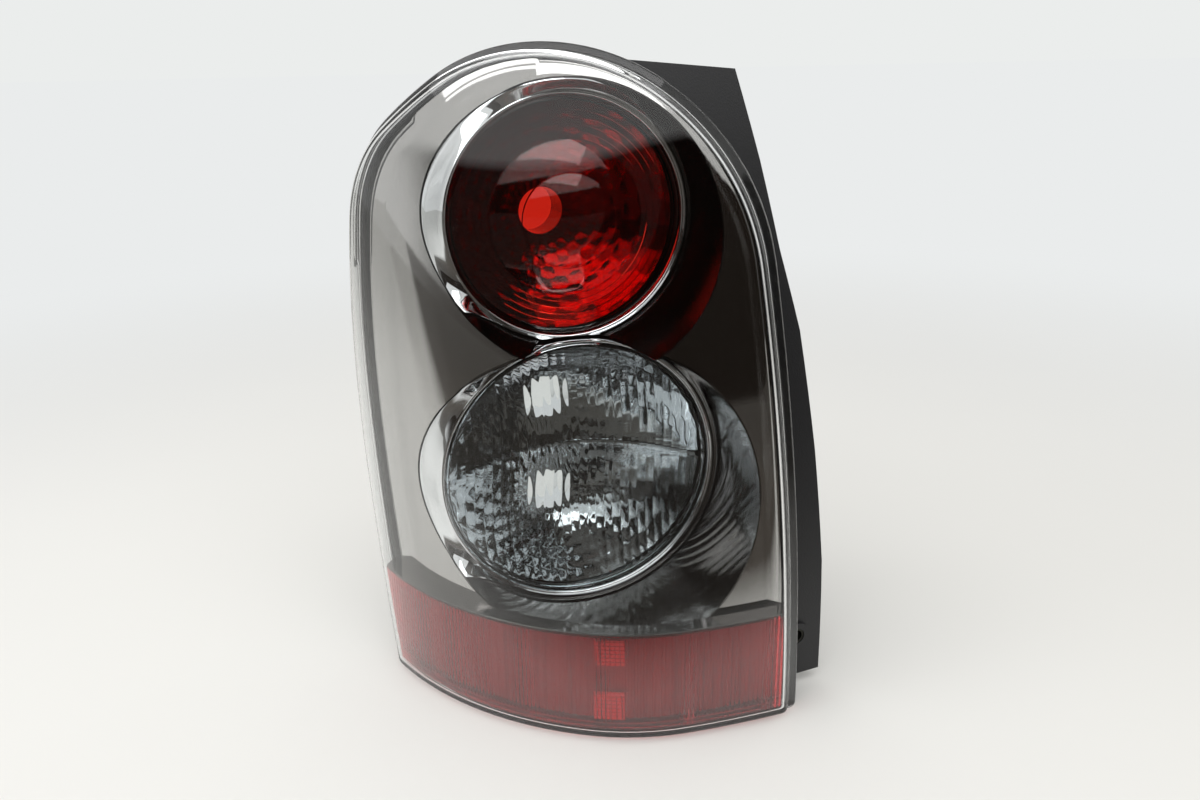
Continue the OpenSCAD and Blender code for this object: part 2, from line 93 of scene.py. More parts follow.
def onFace(u, z, off):
    u, z, off = np.broadcast_arrays(*(np.asarray(v, float) for v in (u, z, off)))
    back = lensFace["sideRadius"] - np.sqrt(lensFace["sideRadius"] ** 2 - z * z)
    w = np.zeros_like(u)  # distance along the draw of the mould
    done = np.zeros(u.shape, bool)
    for i, (hub, h) in enumerate(planArcs):
        r = lensFace["radii"][i] - off
        cu = hub[0] * drawCos - (hub[1] + back) * drawSin
        cw = hub[0] * drawSin + (hub[1] + back) * drawCos
        mine = ~done
        if i < 2:
            n = inward(planArcs[i + 1][1])
            joint = cu - r * (n[0] * drawCos - n[1] * drawSin)
            mine &= u > joint
        w = np.where(mine, cw - np.sqrt(np.maximum(r * r - (u - cu) ** 2, 1e-9)), w)
        done |= mine
    return np.stack([u * drawCos + w * drawSin, w * drawCos - u * drawSin, z], -1)


def edgeHubs():
    arcs = outline["arcs"]
    out = lambda h: np.array([math.cos(math.radians(h)), math.sin(math.radians(h))])
    hubs = {2: np.array([outline["apexU"], outline["height"] - arcs[2][0]])}
    for i in (1, 0):
        hubs[i] = hubs[i + 1] + (arcs[i + 1][0] - arcs[i][0]) * out(arcs[i][2])
    for i in (3, 4, 5, 6):
        hubs[i] = hubs[i - 1] + (arcs[i - 1][0] - arcs[i][0]) * out(arcs[i][1])
    return hubs


rimHubs = edgeHubs()


def rimAngle(i, inset, z):  # angle on side arc 0 or 6 at a height
    a = math.degrees(math.asin((z - rimHubs[i][1]) / (outline["arcs"][i][0] - inset)))
    return a if i == 0 else 180 - a


def rimPoint(i, angle, inset):
    a = np.radians(angle)
    r = outline["arcs"][i][0] - inset
    return np.stack([rimHubs[i][0] + r * np.cos(a), rimHubs[i][1] + r * np.sin(a)], -1)


def rimLoop(inset):
    o = outline
    c = max(o["corner"] - inset * o["cornerShrink"], o["cornerLeast"])
    parts = []
    for i, (_, a, b) in enumerate(o["arcs"]):
        a = rimAngle(0, inset, inset + c) if i == 0 else a
        b = rimAngle(6, inset, inset + c) if i == 6 else b
        parts.append(rimPoint(i, np.linspace(a, b, o["steps"][i], endpoint=False), inset))
    left, leftEnd = (rimPoint(6, rimAngle(6, inset, z), inset) for z in (inset + c, inset))
    right, rightEnd = (rimPoint(0, rimAngle(0, inset, z), inset) for z in (inset + c, inset))
    t = (np.arange(o["cornerSteps"]) / o["cornerSteps"])[:, None]
    k = (np.arange(o["footSteps"]) / o["footSteps"])[:, None]
    inLeft, inRight = leftEnd + [c, 0], rightEnd - [c, 0]
    parts.append((1 - t) ** 2 * left + 2 * t * (1 - t) * leftEnd + t * t * inLeft)
    parts.append(inLeft + (inRight - inLeft) * k)
    parts.append((1 - t) ** 2 * inRight + 2 * t * (1 - t) * rightEnd + t * t * right)
    return np.concatenate(parts)


def rimRing(inset, off):
    p = rimLoop(inset)
    return onFace(p[:, 0], p[:, 1], off)


def faceRings(inset, off, shares):  # the outline shrunk towards the hub, once for each share
    p, hub = rimLoop(inset), np.array(outline["hub"])
    return [onFace(*(hub + f * (p - hub)).T, off) for f in shares]


def facePoint(off):
    return onFace(outline["hub"][0], outline["hub"][1], off)


# mesh helpers
def stackRings(rings, ends=None):  # a closed tube, or with two end points a closed skin
    n = len(rings[0])
    closed = ends is None
    points = np.concatenate(list(rings) + ([] if closed else [np.array(ends)]))
    k = np.arange(n)
    faces = []
    for j in range(len(rings) if closed else len(rings) - 1):
        a, b = j * n, ((j + 1) % len(rings)) * n
        faces += np.stack([a + k, a + (k + 1) % n, b + (k + 1) % n, b + k], -1).tolist()
    if not closed:
        last = (len(rings) - 1) * n
        start, stop = len(rings) * n, len(rings) * n + 1
        faces += np.stack([(k + 1) % n, k, np.full(n, start)], -1).tolist()
        faces += np.stack([last + k, last + (k + 1) % n, np.full(n, stop)], -1).tolist()
    return points, faces


def gridFaces(n, m, base, flip):
    i, j = np.meshgrid(np.arange(n - 1), np.arange(m - 1), indexing="ij")
    a = base + i * m + j
    quad = np.stack([a, a + 1, a + m + 1, a + m], -1).reshape(-1, 4)
    return (quad[:, ::-1] if flip else quad).tolist()


def closedSlab(front, back):  # two grids of points and the walls between their edges
    n, m = front.shape[:2]
    points = np.concatenate([front.reshape(-1, 3), back.reshape(-1, 3)])
    faces = gridFaces(n, m, 0, False) + gridFaces(n, m, n * m, True)
    rim = [i * m for i in range(n)] + [(n - 1) * m + j for j in range(1, m)]
    rim += [i * m + m - 1 for i in range(n - 2, -1, -1)] + [j for j in range(m - 2, 0, -1)]
    for a, b in zip(rim, rim[1:] + rim[:1]):
        faces.append([a, b, b + n * m, a + n * m])
    return points, faces


def joinParts(parts):
    points, faces, base = [], [], 0
    for p, f in parts:
        points.append(np.asarray(p))
        faces += [[i + base for i in face] for face in f]
        base += len(p)
    return np.concatenate(points), faces


def meshObject(name, points, faces, sharp=35, outwards=True):
    mesh = bpy.data.meshes.new(name)
    mesh.from_pydata([tuple(p) for p in points], [], faces)
    obj = bpy.data.objects.new(name, mesh)
    bpy.context.scene.collection.objects.link(obj)
    if outwards:
        tidy = bmesh.new()
        tidy.from_mesh(mesh)
        bmesh.ops.remove_doubles(tidy, verts=tidy.verts, dist=1e-7)
        bmesh.ops.recalc_face_normals(tidy, faces=tidy.faces)
        tidy.to_mesh(mesh)
        tidy.free()
    shadeSmooth(obj, sharp)
    return obj


def shadeSmooth(obj, sharp):
    mesh = obj.data
    mesh.polygons.foreach_set("use_smooth", [True] * len(mesh.polygons))
    mesh.set_sharp_from_angle(angle=math.radians(sharp))


def finishPiece(obj, slotName, *nodes):
    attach(obj, "root")
    if nodes:
        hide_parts(*nodes)


def cutAway(target, tool):
    mod = target.modifiers.new("cut", "BOOLEAN")
    mod.operation, mod.object, mod.solver = "DIFFERENCE", tool, "EXACT"
    bpy.context.view_layer.update()
    graph = bpy.context.evaluated_depsgraph_get()
    made = bpy.data.meshes.new_from_object(target.evaluated_get(graph))
    target.modifiers.clear()
    old = target.data
    target.data = made
    bpy.data.meshes.remove(old)
    bpy.data.objects.remove(tool)


# places of the two round lamps, in metres: height and depth of the lens plane, lens radius
lampAxis = {
    "x": 0.010, "tilt": 8.0,
    "upper": {"z": 0.3055, "y": 0.060, "r": 0.0708},
    "lower": {"z": 0.146, "y": 0.049, "r": 0.0856},
    "seat": 0.009, "wall": 0.0025,
    "splitZ": 0.23315,  # level at which the two collars meet
    "zoneZ": 0.1445,  # level at which the turn and reverse bowls meet
}


def lampMatrix(which):  # local z is the depth behind the lens plane, local y points down
    lamp = lampAxis[which]
    turn = Matrix.Rotation(math.radians(-lampAxis["tilt"]), 4, "Z")
    turn = turn @ Matrix.Rotation(math.radians(-90), 4, "X")
    return Matrix.Translation((lampAxis["x"], lamp["y"], lamp["z"])) @ turn


def revolve(profile, steps):  # profile of radius and depth
    a = np.linspace(0, 2 * math.pi, steps, endpoint=False)
    return [np.stack([r * np.cos(a), r * np.sin(a), np.full(steps, d)], -1) for r, d in profile]


def placed(points, matrix):
    m = np.array(matrix)
    return points @ m[:3, :3].T + m[:3, 3]


# materials
def linear(hexCode):
    values = [int(hexCode[i:i + 2], 16) / 255 for i in (1, 3, 5)]
    curve = lambda v: v / 12.92 if v <= 0.04045 else ((v + 0.055) / 1.055) ** 2.4
    return tuple(curve(v) for v in values) + (1.0,)


def perMetre(mm):  # scale of a noise whose grain is this large
    return 1000.0 / mm


def addNode(tree, kind, settings=None, links=None):
    node = tree.nodes.new(kind)
    for key, value in (settings or {}).items():
        if isinstance(key, str) and hasattr(node, key) and key not in node.inputs:
            setattr(node, key, value)
        else:
            node.inputs[key].default_value = value
    for key, source in (links or {}).items():
        tree.links.new(source, node.inputs[key])
    return node


def newMaterial(name):
    mat = bpy.data.materials.new(name)
    mat.use_nodes = True
    mat.node_tree.nodes.clear()
    return mat, mat.node_tree


def fineBump(tree, grainMm, depthMm, strength, detail):
    where = addNode(tree, "ShaderNodeTexCoord")
    noise = addNode(tree, "ShaderNodeTexNoise", {"Scale": perMetre(grainMm), "Detail": detail},
                    {"Vector": where.outputs["Object"]})
    return addNode(tree, "ShaderNodeBump", {"Strength": strength, "Distance": depthMm / 1000},
                   {"Height": noise.outputs["Fac"]})


def clearPlastic(name, tint, roughness, tintShadow=None, ior=1.49):
    mat, tree = newMaterial(name)  # polished mould: a sharp highlight and a clear view through
    body = addNode(tree, "ShaderNodeBsdfPrincipled", {
        "Base Color": linear(tint), "Roughness": roughness, "IOR": ior, "Transmission Weight": 1.0})
    path = addNode(tree, "ShaderNodeLightPath")
    clear = addNode(tree, "ShaderNodeBsdfTransparent", {"Color": linear(tintShadow or tint)})
    mix = addNode(tree, "ShaderNodeMixShader", None, {
        0: path.outputs["Is Shadow Ray"], 1: body.outputs["BSDF"], 2: clear.outputs["BSDF"]})
    addNode(tree, "ShaderNodeOutputMaterial", None, {"Surface": mix.outputs["Shader"]})
    return mat


filmLook = {"bump": 0.25, "detail": 2.0}
mouldLook = {"bump": 0.35, "detail": 3.0, "cloudMm": 55.556, "cloudDetail": 4.0, "cloudSwing": 0.06}
prismLook = {"metallic": 0.4, "roughness": 0.2, "ior": 1.49, "soften": 0.3}


def metalled(name, colour, roughness, grainMm=0.0, depthMm=0.0):
    mat, tree = newMaterial(name)  # metal film or plating: mirror-like, with the grain below it
    body = addNode(tree, "ShaderNodeBsdfPrincipled", {
        "Base Color": linear(colour), "Metallic": 1.0, "Roughness": roughness})
    if grainMm:
        bump = fineBump(tree, grainMm, depthMm, filmLook["bump"], filmLook["detail"])
        tree.links.new(bump.outputs["Normal"], body.inputs["Normal"])
    addNode(tree, "ShaderNodeOutputMaterial", None, {"Surface": body.outputs["BSDF"]})
    return mat


def moulded(name, colour, roughness, grainMm, depthMm):
    look = mouldLook
    mat, tree = newMaterial(name)  # matt grain of the mould, with the sheen a little uneven
    bump = fineBump(tree, grainMm, depthMm, look["bump"], look["detail"])
    where = addNode(tree, "ShaderNodeTexCoord")
    cloud = addNode(tree, "ShaderNodeTexNoise", {
        "Scale": perMetre(look["cloudMm"]), "Detail": look["cloudDetail"]},
        {"Vector": where.outputs["Object"]})
    rough = addNode(tree, "ShaderNodeMapRange", {
        "To Min": roughness - look["cloudSwing"], "To Max": roughness + look["cloudSwing"]},
        {"Value": cloud.outputs["Fac"]})
    body = addNode(tree, "ShaderNodeBsdfPrincipled", {"Base Color": linear(colour)}, {
        "Roughness": rough.outputs["Result"], "Normal": bump.outputs["Normal"]})
    addNode(tree, "ShaderNodeOutputMaterial", None, {"Surface": body.outputs["BSDF"]})
    return mat


def prismAcrylic(name, face, groove, pitchMm, lineMm):
    look = prismLook
    mat, tree = newMaterial(name)  # painted light and shade: the prism faces are painted pale for the light the prisms throw back, the grooves between them painted dark as shade
    where = addNode(tree, "ShaderNodeTexCoord")
    upright = addNode(tree, "ShaderNodeMapping", {"Rotation": (math.pi / 2, 0, 0)},
                      {"Vector": where.outputs["Object"]})
    grid = addNode(tree, "ShaderNodeTexBrick", {
        "offset": 0.0, "squash": 1.0, "Scale": 1.0,
        "Brick Width": pitchMm / 1000, "Row Height": pitchMm / 1000,
        "Color1": linear(face), "Color2": linear(face), "Mortar": linear(groove),
        "Mortar Size": lineMm / 2000, "Mortar Smooth": look["soften"]},
        {"Vector": upright.outputs["Vector"]})
    body = addNode(tree, "ShaderNodeBsdfPrincipled", {
        "Metallic": look["metallic"], "Roughness": look["roughness"], "IOR": look["ior"]},
        {"Base Color": grid.outputs["Color"]})
    addNode(tree, "ShaderNodeOutputMaterial", None, {"Surface": body.outputs["BSDF"]})
    return mat


clearAcrylic = clearPlastic("clearAcrylicLens", "#fbfcfc", 0.0)  # injection-moulded, polished
innerAcrylic = clearPlastic("flutedAcrylic", "#f2f7f8", 0.0)  # the same, a little cooler
# deep transparent red, dark where little light comes through, and it bends light a little more
redAcrylic = clearPlastic("redAcrylicLens", "#fb2c1c", 0.0, "#d8281e", ior=1.585)
# dyed acrylic with a moulded rib face, so what lies behind it is blurred sideways
stripAcrylic = clearPlastic("redAcrylicStrip", "#f02a30", 0.03, "#f0585c")
# moulded prism tile, orange behind the red strip, which tints it; its faces are painted paler as
# painted light for the light the prisms throw back, and its grooves painted dark as painted shade
orangeReflex = prismAcrylic("orangeReflexAcrylic", "#ffc49a", "#a83c28", 2.7, 0.6)
brightChrome = metalled("brightChromePlating", "#f0f2f4", 0.04)  # mirror-bright
smokedChrome = metalled("smokedChromeFilm", "#bdbbb9", 0.06)  # metal film under smoked lacquer
shadedSmokedChrome = metalled("smokedChromeWallFilm", "#787573", 0.07)  # the smoked chrome film painted darker: painted shade on the lower well wall and the ledge
deeplyShadedSmokedChrome = metalled("smokedChromePaintedDeepShade", "#3a3636", 0.12)  # the smoked chrome film painted nearly black: painted shade on the upper well wall
aluminium = metalled("aluminiumFilm", "#e9eaec", 0.07)  # vacuum-deposited, bright
darkerAluminium = metalled("darkerAluminiumFilm", "#8e8c8c", 0.13)  # darker and duller than the other bowls' film, for the upper reflector
stripFilm = metalled("stripBackingFilm", "#9c9090", 0.3, 8.333, 0.2)  # soft, slightly wavy
zincSteel = metalled("zincPlatedSteel", "#bfbeb6", 0.28, 3.333, 0.3)  # plated, faintly mottled
shadedZinc = metalled("zincSteelPaintedShade", "#34342f", 0.4, 3.333, 0.3)  # zinc-plated steel painted nearly black: painted shade in the bush's recess
# grains below a millimetre are drawn coarser than they are, so that they show
blackGrain = moulded("blackPolypropylene", "#232325", 0.5, 1.111, 0.4)  # spark-eroded mould grain
blackBead = moulded("blackButylBead", "#0d0d0e", 0.35, 5.0, 0.4)  # laid wet, satin, softly uneven
blackRubber = moulded("blackMouldedRubber", "#1b1b1b", 0.65, 2.0, 0.4)  # dull
blackFoam = moulded("blackCellFoam", "#202021", 0.9, 0.8333, 1.2)  # closed cells, no shine
nylon = moulded("naturalNylon", "#e4e0d2", 0.45, 2.5, 0.3)  # unfilled, waxy off-white

cadMaterials = {
    # the wing bush takes zinc painted nearly black, painted shade in its recess
    "housing": blackGrain, "sealant_bead": blackBead, "wing_bush": shadedZinc,
    "mounting_studs": zincSteel, "locating_pin": nylon, "pin_sleeve": blackRubber,
    "vent_caps": blackRubber, "body_gaskets": blackFoam, "reflector_screws": zincSteel,
}
for nodeName, mat in cadMaterials.items():
    for obj in bpy.data.objects:
        if obj.type == "MESH" and obj.name.split(".")[0] == nodeName:
            for s in obj.material_slots:
                s.material = mat
print("materials made")

# outer lens
lensSizes = {
    "flange": 0.004, "wall": 0.003, "seat": 0.009, "depth": 0.012, "edge": 0.0025,
    "innerEdge": 0.0015, "chamfer": 0.0006, "rings": 34, "edgeSteps": 6, "hubShare": 0.03,
}


def buildOuterLens():
    s = lensSizes
    shares = np.linspace(s["hubShare"], 1.0, s["rings"])
    f, t, e, g = s["flange"], s["wall"], s["edge"], s["innerEdge"]
    b, n = s["chamfer"], s["edgeSteps"]
    rings = faceRings(f + e, 0.0, shares)
    for k in range(1, n + 1):
        a = math.radians(90 * k / n)
        rings.append(rimRing(f + e * (1 - math.sin(a)), e * (1 - math.cos(a))))
    rings += [rimRing(f, s["seat"] - b), rimRing(f - b, s["seat"]), rimRing(b, s["seat"]),
              rimRing(0, s["seat"] + b), rimRing(0, s["depth"] - b), rimRing(b, s["depth"]),
              rimRing(f + t, s["depth"])]
    for k in range(n, -1, -1):
        a = math.radians(90 * k / n)
        rings.append(rimRing(f + t + g * (1 - math.sin(a)), t + g * (1 - math.cos(a))))
    rings += faceRings(f + t + g, t, shares[::-1])[1:]
    points, faces = stackRings(rings, [facePoint(0.0), facePoint(t)])
    obj = meshObject("outerLensShell", points, faces, sharp=50)
    obj.data.materials.append(clearAcrylic)
    finishPiece(obj, "clear_lens", "outer_lens")
    print("outer lens:", len(obj.data.polygons), "faces")


buildOuterLens()

# collars: each lens stands in a funnel that runs out to its opening in the bezel. The openings
# are radii in mm by clock angle, and fade gives the angles where the collar reaches forward
collarSizes = {
    "gap": 0.0003, "bead": 0.0024, "thickness": 0.0010, "lip": 0.006, "skin": 0.0002, "tip": 0.0004,
    "beadLine": ((0.0007, 0.0), (0.0012, -0.0002), (0.0018, -0.0001), (0.0022, 0.0003)),
    "lipTop": 0.0006, "root": 0.0014, "shares": (0.03, 0.25, 0.5, 0.75, 0.97),
    "forward": 0.016, "forwardLeast": 0.001, "fade": (35, 75, 200, 240),
    "steps": 360, "smooth": 12, "reach": 0.15, "halvings": 40, "half": 0.00015,
    "upper": {0: 78.5, 60: 78.5, 90: 78.8, 135: 81, 180: 84, 225: 80, 270: 78.5, 360: 78.5},
    "lower": {0: 91.5, 60: 95, 120: 94.5, 150: 97.5, 180: 100, 210: 97, 240: 93, 270: 91.5,
              360: 91.5},
}
# bezel: a plate behind the lens with an opening and a wall round each funnel
bezelSizes = {
    "inset": 0.0085, "off": 0.015, "thickness": 0.0025, "rings": 16, "hubShare": 0.06,
    "chamfer": 0.0006, "lift": 0.0014, "wall": 0.0012, "clear": 0.0006, "steepClear": 0.0016,
    "cutFrom": -0.13, "cutTo": 0.05,
}


def funnelShape(which):
    s = collarSizes
    a = np.linspace(0, 2 * math.pi, s["steps"], endpoint=False)
    clock = np.degrees(-a) % 360
    outer = np.interp(clock, list(s[which]), list(s[which].values())) / 1000
    spans = range(-s["smooth"], s["smooth"] + 1)
    outer = sum(np.roll(outer, k) for k in spans) / len(spans)
    off, matrix = bezelSizes["off"], lampMatrix(which)
    low, high = np.full(a.shape, -s["reach"]), np.full(a.shape, s["reach"])
    for _ in range(s["halvings"]):  # where the funnel's line meets the face of the bezel
        mid = (low + high) / 2
        p = placed(np.stack([outer * np.cos(a), outer * np.sin(a), mid], -1), matrix)
        face = onFace(p[:, 0] * drawCos - p[:, 1] * drawSin, p[:, 2], off)
        behind = (p[:, 0] - face[:, 0]) * drawSin + (p[:, 1] - face[:, 1]) * drawCos > 0
        low, high = np.where(behind, low, mid), np.where(behind, mid, high)
    start = np.stack([np.full(a.shape, lampAxis[which]["r"] + s["bead"]), np.zeros(a.shape)], -1)
    end = np.stack([outer, (low + high) / 2], -1)
    along = end - start
    length = np.linalg.norm(along, axis=1)[:, None]
    along = along / length
    normal = np.stack([along[:, 1], -along[:, 0]], -1)
    return {"a": a, "clock": clock, "start": start, "end": end, "along": along, "length": length,
            "normal": normal}


def spread(a, profile, matrix):  # rings from a profile whose radius and depth change round the lamp
    rings = [np.stack([p[:, 0] * np.cos(a), p[:, 0] * np.sin(a), p[:, 1]], -1) for p in profile]
    return [placed(r, matrix) for r in rings]


def cutLevel(obj, side):  # the upper and lower pieces end where the two lamps touch
    made = bmesh.new()
    made.from_mesh(obj.data)
    level = lampAxis["splitZ"] + side * collarSizes["half"]
    cut = bmesh.ops.bisect_plane(made, geom=made.verts[:] + made.edges[:] + made.faces[:],
                                 plane_co=(0, 0, level), plane_no=(0, 0, -side), clear_outer=True)
    edges = [e for e in cut["geom_cut"] if isinstance(e, bmesh.types.BMEdge)]
    bmesh.ops.triangle_fill(made, use_beauty=True, use_dissolve=False, edges=edges)
    bmesh.ops.recalc_face_normals(made, faces=made.faces)
    made.to_mesh(obj.data)
    made.free()


def buildCollar(which, side):
    s, r, shape = collarSizes, lampAxis[which]["r"], funnelShape(which)
    a, start, end, along, normal = (shape[k] for k in ("a", "start", "end", "along", "normal"))
    fade = np.interp(shape["clock"], s["fade"], (0, 1, 1, 0))
    forward = s["forwardLeast"] + s["forward"] * fade * fade * (3 - 2 * fade)
    share = np.where(end[:, 1] < -forward, forward / np.maximum(-end[:, 1], 1e-6), 1.0)[:, None]
    full = lambda x, d: np.stack([np.full(a.shape, r + x), np.full(a.shape, d)], -1)
    profile = [full(s["gap"], s["lip"]), full(s["gap"], s["lipTop"])]
    profile += [full(x, d) for x, d in s["beadLine"]]
    for k in s["shares"]:
        profile.append(start + along * shape["length"] * share * k - normal * s["skin"])
    tip = start + along * shape["length"] * share
    profile += [tip - normal * s["tip"], tip - normal * s["thickness"],
                start - normal * s["thickness"] + along * s["skin"], full(s["root"], s["lip"])]
    points, faces = stackRings(spread(a, profile, lampMatrix(which)))
    obj = meshObject(which + "Collar", points, faces, sharp=45)
    cutLevel(obj, side)
    shadeSmooth(obj, sharp=45)
    obj.data.materials.append(brightChrome)
    finishPiece(obj, "bright_chrome", which + "_ring")


def buildBezel():
    s = bezelSizes
    shares = np.linspace(s["hubShare"], 1.0, s["rings"])
    rings = faceRings(s["inset"] + s["chamfer"], s["off"], shares)
    rings += [rimRing(s["inset"], s["off"] + s["chamfer"])]
    rings += [rimRing(s["inset"], s["off"] + s["thickness"])]
    rings += faceRings(s["inset"], s["off"] + s["thickness"], shares[::-1])[1:]
    points, faces = stackRings(rings, [facePoint(s["off"]), facePoint(s["off"] + s["thickness"])])
    plate = meshObject("bezelShell", points, faces, sharp=40)
    walls = []
    for which, side, film in (("lower", -1, 1), ("upper", 1, 2)):
        shape = funnelShape(which)
        a, end, along, normal = (shape[k] for k in ("a", "end", "along", "normal"))
        foot, top = shape["start"] - normal * s["lift"], end - normal * s["lift"]
        profile = [foot, foot * 0.5 + top * 0.5, top]
        profile += [top - normal * s["wall"], foot - normal * s["wall"]]
        points, faces = stackRings(spread(a, profile, lampMatrix(which)))
        wall = meshObject(which + "Wall", points, faces, sharp=45)
        cutLevel(wall, side)
        # the walls take the darker copies of the smoked chrome film: painted shade in the wells
        wall.data.polygons.foreach_set("material_index", [film] * len(wall.data.polygons))
        walls.append(wall)
        reach = end[:, 0] + s["clear"] + s["steepClear"] * np.clip(-along[:, 1], 0, 1)
        depths = (s["cutFrom"], s["cutTo"])
        prism = [np.stack([reach, np.full(a.shape, d)], -1) for d in depths]
        ends = placed(np.array([(0, 0, d) for d in depths]), lampMatrix(which))
        points, faces = stackRings(spread(a, prism, lampMatrix(which)), ends)
        cutAway(plate, meshObject("opening", points, faces))
    plate.data.materials.clear()  # clearing resets the faces' index, so the walls join afterwards
    for film in (smokedChrome, shadedSmokedChrome, deeplyShadedSmokedChrome):
        plate.data.materials.append(film)
    made = bmesh.new()
    made.from_mesh(plate.data)
    for wall in walls:
        made.from_mesh(wall.data)
        bpy.data.objects.remove(wall)
    made.to_mesh(plate.data)
    made.free()
    shadeSmooth(plate, sharp=35)
    finishPiece(plate, "smoked_chrome", "bezel")
    print("bezel:", len(plate.data.polygons), "faces")


buildBezel()
buildCollar("upper", side=1)
buildCollar("lower", side=-1)
print("collars made")

# upper inner lens. Its two lines give distances inward from the lens radius, and depths
redSizes = {
    "disc": 0.046, "dome": 0.085, "eye": 0.028, "eyeBall": 0.052, "groove": 0.0008,
    "margin": 0.0016, "sunk": 0.0010, "stops": 14, "crease": 0.0001, "discEdge": 0.0003,
    "rimLine": ((0.004, 0.0016), (0.002, 0.0019), (0.0006, 0.0026), (0.0, 0.004)),
    "innerLine": ((0.0, 0.0062), (0.001, 0.0048)),
    "stepPitch": 0.004, "stepDepth": 0.0007, "stepFace": 0.92, "stepFrom": 0.002, "around": 160,
}


def buildRedLens():
    r, t, seat, s = lampAxis["upper"]["r"], lampAxis["wall"], lampAxis["seat"], redSizes
    d, ball, eye, eyeBall = s["disc"], s["dome"], s["eye"], s["eyeBall"]
    arch = lambda radius, q: math.sqrt(radius ** 2 - q ** 2)
    sink = lambda radius, q, edge: arch(radius, q) - arch(radius, edge)

    def faceAt(q):  # a wide dome with a smaller bullseye on it, then the flat margin
        if q >= d:
            return s["margin"]
        if q >= eye:
            return s["sunk"] - sink(ball, q, d)
        return s["sunk"] - sink(ball, eye, d) + s["groove"] - sink(eyeBall, q, eye)

    n = s["stops"]
    stops = [eye * k / n for k in range(1, n)] + [eye - s["crease"], eye]
    stops += [eye + (d - eye) * k / n for k in range(1, n)] + [d - s["crease"], d + s["discEdge"]]
    front = [(q, faceAt(q)) for q in stops]
    front += [(r - q, depth) for q, depth in s["rimLine"]] + [(r, seat)]
    back = [(r - t, seat)] + [(r - t - q, depth) for q, depth in s["innerLine"]]
    x, floorAt, pitch = r - t - s["stepFrom"], s["margin"] + t, s["stepPitch"]
    while x > d + s["stepFrom"]:  # step rings on the back, outside the dome
        back += [(x, floorAt + s["stepDepth"]), (x - pitch * s["stepFace"], floorAt)]
        x -= pitch
    back += [(q, faceAt(q) + t) for q in stops[::-1] if q < x]
    ends = [(0, 0, faceAt(0.0)), (0, 0, faceAt(0.0) + t)]
    points, faces = stackRings(revolve(front + back, s["around"]), ends)
    obj = meshObject("redLensShell", placed(points, lampMatrix("upper")), faces, sharp=25)
    obj.data.materials.append(redAcrylic)
    finishPiece(obj, "red_lens", "upper_inner_lens")


buildRedLens()

# lower inner lens: a cup whose floor has upright flutes on its back
fluteSizes = {
    "pitch": 0.0056, "rise": 0.00034, "waver": 0.0012, "waverRate": 60, "face": 0.003,
    "chamfer": 0.0007, "lipTop": 0.0006, "play": 0.00005, "edgeAngle": 0.02,
    "columns": 420, "rows": 64, "around": 200,
}


def discGrid(radius, depthAt, front):
    s = fluteSizes
    x = -radius * np.cos(np.linspace(s["edgeAngle"], math.pi - s["edgeAngle"], s["columns"]))
    y = np.sqrt(radius ** 2 - x ** 2)[:, None] * np.linspace(-1, 1, s["rows"])[None, :]
    xx = np.repeat(x[:, None], s["rows"], 1)
    return np.stack([xx, y, np.full_like(xx, front)], -1), np.stack([xx, y, depthAt(xx, y)], -1)


def buildFlutedLens():
    r, t, seat, s = lampAxis["lower"]["r"], lampAxis["wall"], lampAxis["seat"], fluteSizes
    inner, c = r - t, s["chamfer"]
    cup = [(inner, s["lipTop"]), (inner + c, 0.0), (r - c, 0.0), (r, c), (r, seat), (inner, seat)]
    cupMesh = stackRings(revolve(cup, s["around"]))

    def fluteDepth(x, y):  # upright flutes that waver a little
        wave = np.abs(np.sin(math.pi * (x + s["waver"] * np.sin(y * s["waverRate"])) / s["pitch"]))
        return s["face"] + t + s["rise"] * (wave - 0.5)

    front, back = discGrid(inner - s["play"], fluteDepth, s["face"])
    points, faces = joinParts([cupMesh, closedSlab(front, back)])
    obj = meshObject("flutedLensCup", placed(points, lampMatrix("lower")), faces, sharp=40)
    obj.data.materials.append(innerAcrylic)
    finishPiece(obj, "inner_clear", "lower_inner_lens")


buildFlutedLens()
print("inner lenses made")

# reflectors: each bowl with its bulb opening, the bulb's x and z, and the lamp that holds it
bowlSizes = {
    "hole": 0.0145, "backY": 0.108, "rearY": 0.1275, "wall": 0.0018, "collar": 0.003,
    "collarStep": 0.0005, "inside": 0.003, "flange": 0.0013, "rimPlay": 0.0004, "halfGap": 0.00015,
    "power": 1.7, "around": 192, "across": 56, "collarSteps": 96,
    "facetsAround": 24, "facetsAcross": 8, "pillow": 0.0007, "pillowFade": 0.05,
    "upper": (0.0106, 0.304), "turn": (0.0085, 0.179), "reverse": (0.0085, 0.110),
}


